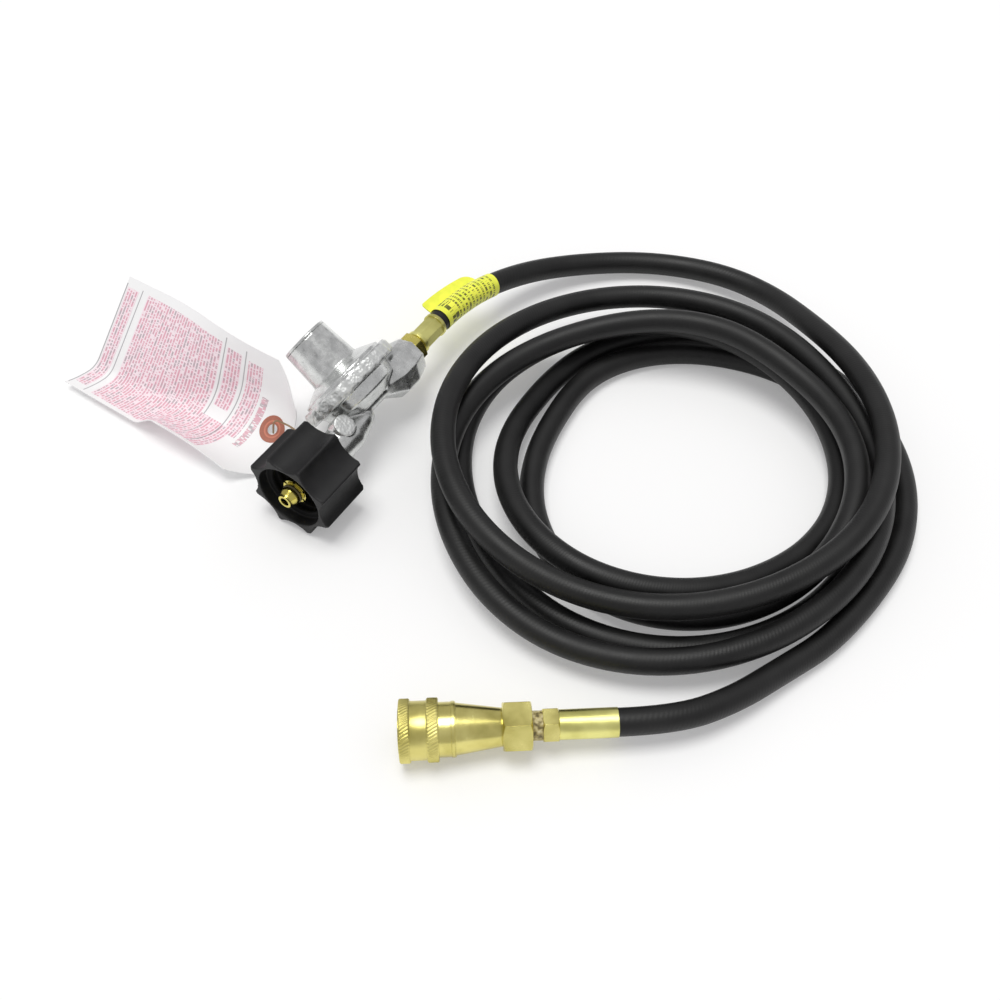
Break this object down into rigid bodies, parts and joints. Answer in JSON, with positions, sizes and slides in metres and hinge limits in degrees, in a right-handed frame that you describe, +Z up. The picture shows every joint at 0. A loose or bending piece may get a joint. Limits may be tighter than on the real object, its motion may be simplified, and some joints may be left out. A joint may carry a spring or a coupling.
{
  "type": "propane regulator hose",
  "caption": "Coiled rubber gas hose with a low-pressure propane regulator and black cylinder nut at one end and a brass quick coupler at the other.",
  "frame": {"origin": "floor point under the middle of the regulator, its nut and its tag, without the hose and the coupler on it", "axes": "+Z up from the floor that the part lies on, +X to the right and +Y away, as seen in the picture; gas enters along a level line at 58 degrees from +X towards +Y"},
  "size_m": [0.4833, 0.3655, 0.0674],
  "materials": {
    "nut_plastic": "matte, moulded",
    "brass": "turned, bright",
    "seal_rubber": "smooth",
    "bushing_plastic": "matte",
    "adjuster_plastic": "matte",
    "spring_steel": "bright",
    "zinc": "die-cast zinc, fine grain",
    "hose_rubber": "cloth-wrapped, satin",
    "label_film": "fluorescent film",
    "tag_sheet": "coated, white",
    "patch_film": "matte",
    "sealant": "dried thread paste"
  },
  "bodies": {
    "base": {"inlet_nipple": "brass", "inlet_seal": "seal_rubber", "thermal_bushing": "bushing_plastic", "check_spring": "spring_steel", "regulator_body": "zinc", "inlet_orifice": "brass", "lever_pin": "spring_steel", "diaphragm": "seal_rubber", "main_spring": "spring_steel", "bonnet": "zinc", "vent_screen": "spring_steel", "tower_cap": "zinc", "outlet_fitting": "brass", "regulator_ferrule": "brass", "hose_tail_regulator": "hose_rubber", "hose_coil": "hose_rubber", "hose_tail_coupler": "hose_rubber", "hose_label": "label_film", "tag_tie": "brass", "coupler_ferrule": "brass", "coupler_fitting": "brass", "thread_seal": "sealant", "coupler_body": "brass", "retaining_ring": "brass", "snap_ring": "spring_steel", "sleeve_spring": "spring_steel", "poppet_guide": "brass", "poppet_spring": "spring_steel", "socket_seal": "seal_rubber"},
    "nut": {"inlet_nut": "nut_plastic"},
    "check_valve": {"check_poppet": "brass"},
    "plate": {"diaphragm_plate": "zinc"},
    "lever": {"lever": "spring_steel"},
    "valve": {"valve_disc": "seal_rubber"},
    "seat": {"spring_seat": "zinc"},
    "adjuster": {"adjuster": "adjuster_plastic"},
    "sleeve": {"coupler_sleeve": "brass"},
    "coupler_valve": {"coupler_poppet": "brass"},
    "tag": {"hang_tag": "tag_sheet", "tag_patch": "patch_film"},
    "ball_1": {"ball_1": "spring_steel"},
    "ball_2": {"ball_2": "spring_steel"},
    "ball_3": {"ball_3": "spring_steel"},
    "ball_4": {"ball_4": "spring_steel"},
    "ball_5": {"ball_5": "spring_steel"},
    "ball_6": {"ball_6": "spring_steel"}
  },
  "joints": [
    {"name": "nut_spin", "type": "hinge", "parent": "base", "child": "nut", "pos_m": [0.0419, -0.05908, 0.0255], "axis": [0.5299, 0.848, 0], "continuous": true},
    {"name": "check_slide", "type": "slide", "parent": "base", "child": "check_valve", "axis": [0.5299, 0.848, 0], "range_m": [0, 0.002], "stiffness_N_per_m": 150, "deforming": ["check_spring"]},
    {"name": "plate_slide", "type": "slide", "parent": "base", "child": "plate", "axis": [-0.7031, 0.4393, 0.5592], "range_m": [0, 0.001], "stiffness_N_per_m": 900, "deforming": ["main_spring", "diaphragm"]},
    {"name": "lever_hinge", "type": "hinge", "parent": "base", "child": "lever", "pos_m": [0.0685, -0.02028, 0.02416], "axis": [-0.4742, 0.2963, -0.829], "range_deg": [-4, 0]},
    {"name": "valve_slide", "type": "slide", "parent": "base", "child": "valve", "axis": [-0.5299, -0.848, 0], "range_m": [0, 0.00018]},
    {"name": "seat_slide", "type": "slide", "parent": "base", "child": "seat", "axis": [0.7031, -0.4393, -0.5592], "range_m": [0, 0.003]},
    {"name": "adjuster_turn", "type": "hinge", "parent": "seat", "child": "adjuster", "pos_m": [0.04136, 0.01201, 0.05122], "axis": [0.7031, -0.4393, -0.5592], "range_deg": [0, 720]},
    {"name": "sleeve_slide", "type": "slide", "parent": "base", "child": "sleeve", "axis": [0.9989, 0.0471, 0], "range_m": [0, 0.0055], "stiffness_N_per_m": 1500, "deforming": ["sleeve_spring"]},
    {"name": "coupler_valve_slide", "type": "slide", "parent": "base", "child": "coupler_valve", "axis": [0.9989, 0.0471, 0], "range_m": [0, 0.004], "stiffness_N_per_m": 600, "deforming": ["poppet_spring"]},
    {"name": "tag_swing", "type": "hinge", "parent": "base", "child": "tag", "pos_m": [0.01414, -0.00573, 0.00563], "axis": [0, 0, 1], "range_deg": [-4, 4]},
    {"name": "ball_1_slide", "type": "slide", "parent": "base", "child": "ball_1", "axis": [0, 0, 1], "range_m": [0, 0.0012]},
    {"name": "ball_2_slide", "type": "slide", "parent": "base", "child": "ball_2", "axis": [-0.0408, 0.8651, 0.5], "range_m": [0, 0.0012]},
    {"name": "ball_3_slide", "type": "slide", "parent": "base", "child": "ball_3", "axis": [-0.0408, 0.8651, -0.5], "range_m": [0, 0.0012]},
    {"name": "ball_4_slide", "type": "slide", "parent": "base", "child": "ball_4", "axis": [0, 0, -1], "range_m": [0, 0.0012]},
    {"name": "ball_5_slide", "type": "slide", "parent": "base", "child": "ball_5", "axis": [0.0408, -0.8651, -0.5], "range_m": [0, 0.0012]},
    {"name": "ball_6_slide", "type": "slide", "parent": "base", "child": "ball_6", "axis": [0.0408, -0.8651, 0.5], "range_m": [0, 0.0012]}
  ],
  "couplings": [
    {"joint": "lever_hinge", "follows": "plate_slide", "rad_per_m": -68.966},
    {"joint": "valve_slide", "follows": "plate_slide", "ratio": 0.16552},
    {"joint": "adjuster_turn", "follows": "seat_slide", "rad_per_m": 4188.8},
    {"joint": "ball_1_slide", "follows": "sleeve_slide", "ratio": 0.218},
    {"joint": "ball_2_slide", "follows": "sleeve_slide", "ratio": 0.218},
    {"joint": "ball_3_slide", "follows": "sleeve_slide", "ratio": 0.218},
    {"joint": "ball_4_slide", "follows": "sleeve_slide", "ratio": 0.218},
    {"joint": "ball_5_slide", "follows": "sleeve_slide", "ratio": 0.218},
    {"joint": "ball_6_slide", "follows": "sleeve_slide", "ratio": 0.218}
  ]
}
